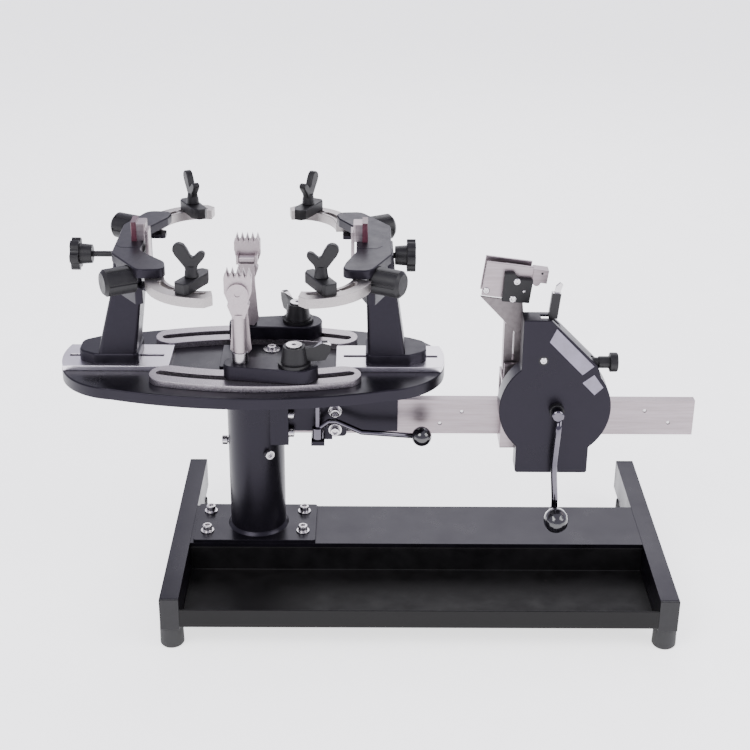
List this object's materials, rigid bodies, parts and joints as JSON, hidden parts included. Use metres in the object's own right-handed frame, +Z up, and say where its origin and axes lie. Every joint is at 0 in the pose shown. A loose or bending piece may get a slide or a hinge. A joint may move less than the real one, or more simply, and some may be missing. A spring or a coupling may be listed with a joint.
{
  "type": "racket stringing machine",
  "caption": "Tabletop racket stringing machine with turntable, racket supports, toothed string clamps and a hand-cranked lock-out tension head on a rail",
  "frame": {"origin": "on the table, under the middle of the machine's overall box", "axes": "+Z up, +X along the tension rail from the turntable towards the rail's free end, +Y from the crank's side to the back"},
  "size_m": [0.665, 0.3, 0.4292],
  "materials": {
    "black_enamel": "gloss black powder coat",
    "black_plastic": "moulded black plastic",
    "gloss_black_grip": "polished black plastic",
    "black_rubber": "moulded rubber",
    "satin_steel": "satin nickel-plated steel",
    "bright_steel": "bright ground steel plate",
    "cast_nickel": "nickel-plated casting with fine grain",
    "satin_alloy": "bead-blasted aluminium",
    "bearing_steel": "turned steel",
    "zinc_screws": "zinc-plated steel",
    "chrome_steel": "polished chrome plate"
  },
  "bodies": {
    "base": {"side_rails": "black_enamel", "rail_end_caps": "black_plastic", "rubber_feet": "black_rubber", "centre_beam": "black_enamel", "tool_tray": "black_enamel", "post_foot_plate": "black_enamel", "post_tube": "black_enamel", "spindle_bearings": "bearing_steel", "tension_rail": "satin_steel", "gear_rack": "satin_steel", "rail_holder": "black_enamel", "frame_screws": "zinc_screws"},
    "turntable": {"turntable_plate": "black_enamel", "spindle": "bearing_steel", "slide_plates": "bright_steel", "glide_bars": "cast_nickel"},
    "left_tower": {"left_tower": "black_enamel"},
    "left_support": {"left_racket_support": "satin_steel"},
    "left_knob": {"left_star_knob": "black_plastic"},
    "right_tower": {"right_tower": "black_enamel"},
    "right_support": {"right_racket_support": "satin_steel"},
    "right_knob": {"right_star_knob": "black_plastic"},
    "front_left_arm": {"front_left_arm": "satin_alloy", "front_left_pad": "black_plastic"},
    "front_left_adjuster": {"front_left_adjuster": "black_plastic"},
    "front_left_wing": {"front_left_wing_screw": "black_plastic"},
    "rear_right_arm": {"rear_right_arm": "satin_alloy", "rear_right_pad": "black_plastic"},
    "rear_right_adjuster": {"rear_right_adjuster": "black_plastic"},
    "rear_right_wing": {"rear_right_wing_screw": "black_plastic"},
    "front_right_arm": {"front_right_arm": "satin_alloy", "front_right_pad": "black_plastic"},
    "front_right_adjuster": {"front_right_adjuster": "black_plastic"},
    "front_right_wing": {"front_right_wing_screw": "black_plastic"},
    "rear_left_arm": {"rear_left_arm": "satin_alloy", "rear_left_pad": "black_plastic"},
    "rear_left_adjuster": {"rear_left_adjuster": "black_plastic"},
    "rear_left_wing": {"rear_left_wing_screw": "black_plastic"},
    "front_clamp_base": {"front_clamp_base": "black_enamel"},
    "front_clamp": {"front_clamp_body": "satin_steel"},
    "front_jaw": {"front_clamp_jaw": "satin_steel"},
    "front_lock": {"front_lock_lever": "black_plastic"},
    "rear_clamp_base": {"rear_clamp_base": "black_enamel"},
    "rear_clamp": {"rear_clamp_body": "satin_steel"},
    "rear_jaw": {"rear_clamp_jaw": "satin_steel"},
    "rear_lock": {"rear_lock_lever": "black_plastic"},
    "brake_lever": {"brake_lever": "zinc_screws"},
    "brake_pad": {"brake_pad": "black_rubber"},
    "carriage": {"carriage_frame": "satin_steel", "head_cover": "black_enamel", "head_back_plate": "black_enamel", "tension_spring": "bearing_steel"},
    "crank": {"crank": "chrome_steel", "pinion": "bearing_steel"},
    "crank_grip": {"crank_grip": "gloss_black_grip"},
    "tension_knob": {"tension_knob": "black_plastic"},
    "release_lever": {"release_lever": "black_plastic"},
    "tension_arm": {"tension_arm": "satin_steel", "gripper_body": "satin_steel"},
    "gripper_jaw": {"gripper_jaw": "satin_steel"}
  },
  "joints": [
    {"name": "turntable_spin", "type": "hinge", "parent": "base", "child": "turntable", "pos_m": [-0.133, 0, 0.247], "axis": [0, 0, 1], "continuous": true},
    {"name": "left_tower_slide", "type": "slide", "parent": "turntable", "child": "left_tower", "axis": [-1, 0, 0], "range_m": [-0.014, 0.012]},
    {"name": "left_knob_turn", "type": "hinge", "parent": "left_tower", "child": "left_knob", "pos_m": [-0.314, 0, 0.377], "axis": [-1, 0, 0], "range_deg": [0, 961]},
    {"name": "left_support_slide", "type": "slide", "parent": "left_tower", "child": "left_support", "axis": [1, 0, 0], "range_m": [0, 0.008]},
    {"name": "right_tower_slide", "type": "slide", "parent": "turntable", "child": "right_tower", "axis": [1, 0, 0], "range_m": [-0.014, 0.012]},
    {"name": "right_knob_turn", "type": "hinge", "parent": "right_tower", "child": "right_knob", "pos_m": [0.034, 0, 0.377], "axis": [1, 0, 0], "range_deg": [0, 961]},
    {"name": "right_support_slide", "type": "slide", "parent": "right_tower", "child": "right_support", "axis": [-1, 0, 0], "range_m": [0, 0.008]},
    {"name": "front_left_arm_slide", "type": "slide", "parent": "left_tower", "child": "front_left_arm", "axis": [-1, 0, 0], "range_m": [-0.003, 0.01]},
    {"name": "front_left_adjuster_turn", "type": "hinge", "parent": "left_tower", "child": "front_left_adjuster", "pos_m": [-0.27, -0.0855, 0.3785], "axis": [-0.891, -0.454, 0], "range_deg": [-700, 700]},
    {"name": "front_left_wing_turn", "type": "hinge", "parent": "front_left_arm", "child": "front_left_wing", "pos_m": [-0.18048, -0.1077, 0.395], "axis": [0, 0, 1], "continuous": true},
    {"name": "rear_right_arm_slide", "type": "slide", "parent": "right_tower", "child": "rear_right_arm", "axis": [1, 0, 0], "range_m": [-0.003, 0.01]},
    {"name": "rear_right_adjuster_turn", "type": "hinge", "parent": "right_tower", "child": "rear_right_adjuster", "pos_m": [0.011, 0.0855, 0.3785], "axis": [0.891, 0.454, 0], "range_deg": [-700, 700]},
    {"name": "rear_right_wing_turn", "type": "hinge", "parent": "rear_right_arm", "child": "rear_right_wing", "pos_m": [-0.07852, 0.1077, 0.395], "axis": [0, 0, 1], "continuous": true},
    {"name": "front_right_arm_slide", "type": "slide", "parent": "right_tower", "child": "front_right_arm", "axis": [1, 0, 0], "range_m": [-0.012, 0.001]},
    {"name": "front_right_adjuster_turn", "type": "hinge", "parent": "right_tower", "child": "front_right_adjuster", "pos_m": [0.0196, -0.0855, 0.3785], "axis": [0.891, -0.454, 0], "range_deg": [-700, 700]},
    {"name": "front_right_wing_turn", "type": "hinge", "parent": "front_right_arm", "child": "front_right_wing", "pos_m": [-0.05852, -0.1077, 0.395], "axis": [0, 0, 1], "continuous": true},
    {"name": "rear_left_arm_slide", "type": "slide", "parent": "left_tower", "child": "rear_left_arm", "axis": [-1, 0, 0], "range_m": [-0.012, 0.001]},
    {"name": "rear_left_adjuster_turn", "type": "hinge", "parent": "left_tower", "child": "rear_left_adjuster", "pos_m": [-0.2823, 0.0855, 0.3785], "axis": [-0.891, 0.454, 0], "range_deg": [-700, 700]},
    {"name": "rear_left_wing_turn", "type": "hinge", "parent": "rear_left_arm", "child": "rear_left_wing", "pos_m": [-0.20248, 0.1077, 0.395], "axis": [0, 0, 1], "continuous": true},
    {"name": "front_clamp_travel", "type": "hinge", "parent": "turntable", "child": "front_clamp_base", "pos_m": [-0.1285, 0.281, 0.266], "axis": [0, 0, 1], "range_deg": [-12, 4]},
    {"name": "front_clamp_turn", "type": "hinge", "parent": "front_clamp_base", "child": "front_clamp", "pos_m": [-0.1426, -0.051, 0.293], "axis": [0, 0, 1], "range_deg": [-60, 60]},
    {"name": "front_jaw_open", "type": "hinge", "parent": "front_clamp", "child": "front_jaw", "pos_m": [-0.1426, -0.0391, 0.357], "axis": [1, 0, 0], "range_deg": [0, 24]},
    {"name": "front_lock_turn", "type": "hinge", "parent": "front_clamp_base", "child": "front_lock", "pos_m": [-0.088, -0.05658, 0.281], "axis": [0, 0, 1], "range_deg": [-50, 50]},
    {"name": "rear_clamp_travel", "type": "hinge", "parent": "turntable", "child": "rear_clamp_base", "pos_m": [-0.133, -0.281, 0.266], "axis": [0, 0, 1], "range_deg": [-4, 12]},
    {"name": "rear_clamp_turn", "type": "hinge", "parent": "rear_clamp_base", "child": "rear_clamp", "pos_m": [-0.1406, 0.051, 0.293], "axis": [0, 0, 1], "range_deg": [-60, 60]},
    {"name": "rear_jaw_open", "type": "hinge", "parent": "rear_clamp", "child": "rear_jaw", "pos_m": [-0.1406, 0.0391, 0.357], "axis": [1, 0, 0], "range_deg": [-24, 0]},
    {"name": "rear_lock_turn", "type": "hinge", "parent": "rear_clamp_base", "child": "rear_lock", "pos_m": [-0.089, 0.05614, 0.281], "axis": [0, 0, 1], "range_deg": [-50, 50]},
    {"name": "brake_lever_turn", "type": "hinge", "parent": "base", "child": "brake_lever", "pos_m": [-0.066, -0.027, 0.195], "axis": [0, 0, 1], "range_deg": [-70, 0]},
    {"name": "brake_pad_lift", "type": "slide", "parent": "base", "child": "brake_pad", "axis": [0, 0, 1], "range_m": [0, 0.0005]},
    {"name": "carriage_travel", "type": "slide", "parent": "base", "child": "carriage", "axis": [1, 0, 0], "range_m": [-0.01, 0.09]},
    {"name": "crank_turn", "type": "hinge", "parent": "carriage", "child": "crank", "pos_m": [0.18, -0.062, 0.228], "axis": [0, 1, 0], "range_deg": [-38.3, 344]},
    {"name": "grip_spin", "type": "hinge", "parent": "crank", "child": "crank_grip", "pos_m": [0.183, -0.08, 0.114], "axis": [0, 1, 0], "continuous": true},
    {"name": "tension_knob_turn", "type": "hinge", "parent": "carriage", "child": "tension_knob", "pos_m": [0.212, -0.038, 0.2765], "axis": [1, 0, 0], "range_deg": [-720, 720]},
    {"name": "release_lever_tilt", "type": "hinge", "parent": "carriage", "child": "release_lever", "pos_m": [0.171, -0.038, 0.315], "axis": [0, 1, 0], "range_deg": [-18, 0]},
    {"name": "lockout_tilt", "type": "hinge", "parent": "carriage", "child": "tension_arm", "pos_m": [0.137, 0, 0.257], "axis": [0, 1, 0], "range_deg": [-6, 0]},
    {"name": "gripper_slide", "type": "slide", "parent": "tension_arm", "child": "gripper_jaw", "axis": [0.9914, 0, -0.1305], "range_m": [0, 0.006]}
  ],
  "couplings": [
    {"joint": "left_knob_turn", "follows": "left_support_slide", "rad_per_m": 2094.4},
    {"joint": "right_knob_turn", "follows": "right_support_slide", "rad_per_m": 2094.4},
    {"joint": "front_left_adjuster_turn", "follows": "front_left_arm_slide", "rad_per_m": 1000},
    {"joint": "rear_right_adjuster_turn", "follows": "rear_right_arm_slide", "rad_per_m": 1000},
    {"joint": "front_right_adjuster_turn", "follows": "front_right_arm_slide", "rad_per_m": 1000},
    {"joint": "rear_left_adjuster_turn", "follows": "rear_left_arm_slide", "rad_per_m": 1000},
    {"joint": "brake_pad_lift", "follows": "brake_lever_turn", "m_per_rad": -0.0004},
    {"joint": "crank_turn", "follows": "carriage_travel", "rad_per_m": 66.667}
  ]
}
